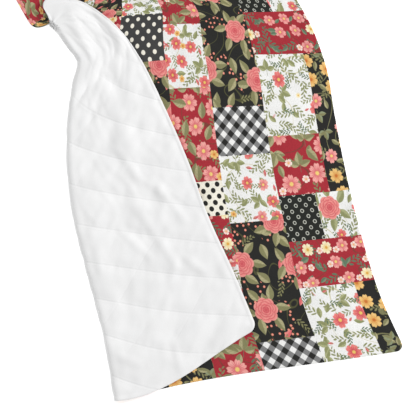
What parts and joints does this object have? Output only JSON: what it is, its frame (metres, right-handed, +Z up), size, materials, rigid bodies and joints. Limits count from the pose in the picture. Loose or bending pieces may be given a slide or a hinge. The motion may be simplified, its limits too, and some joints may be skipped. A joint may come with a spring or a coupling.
{
  "type": "quilt",
  "caption": "Patchwork throw quilt lying on the floor, print side up, with one long side folded over to show its diamond-stitched white back.",
  "frame": {"origin": "middle of the quilt's plan, on the floor", "axes": "+Z up out of the floor, +Y up the length of the quilt from its bottom hem, +X towards its right edge"},
  "size_m": [1.1998, 1.5996, 0.0279],
  "materials": {
    "print": "matte",
    "back": "matte"
  },
  "bodies": {
    "root": {"printed_top": "print", "backing": "back"}
  },
  "joints": []
}
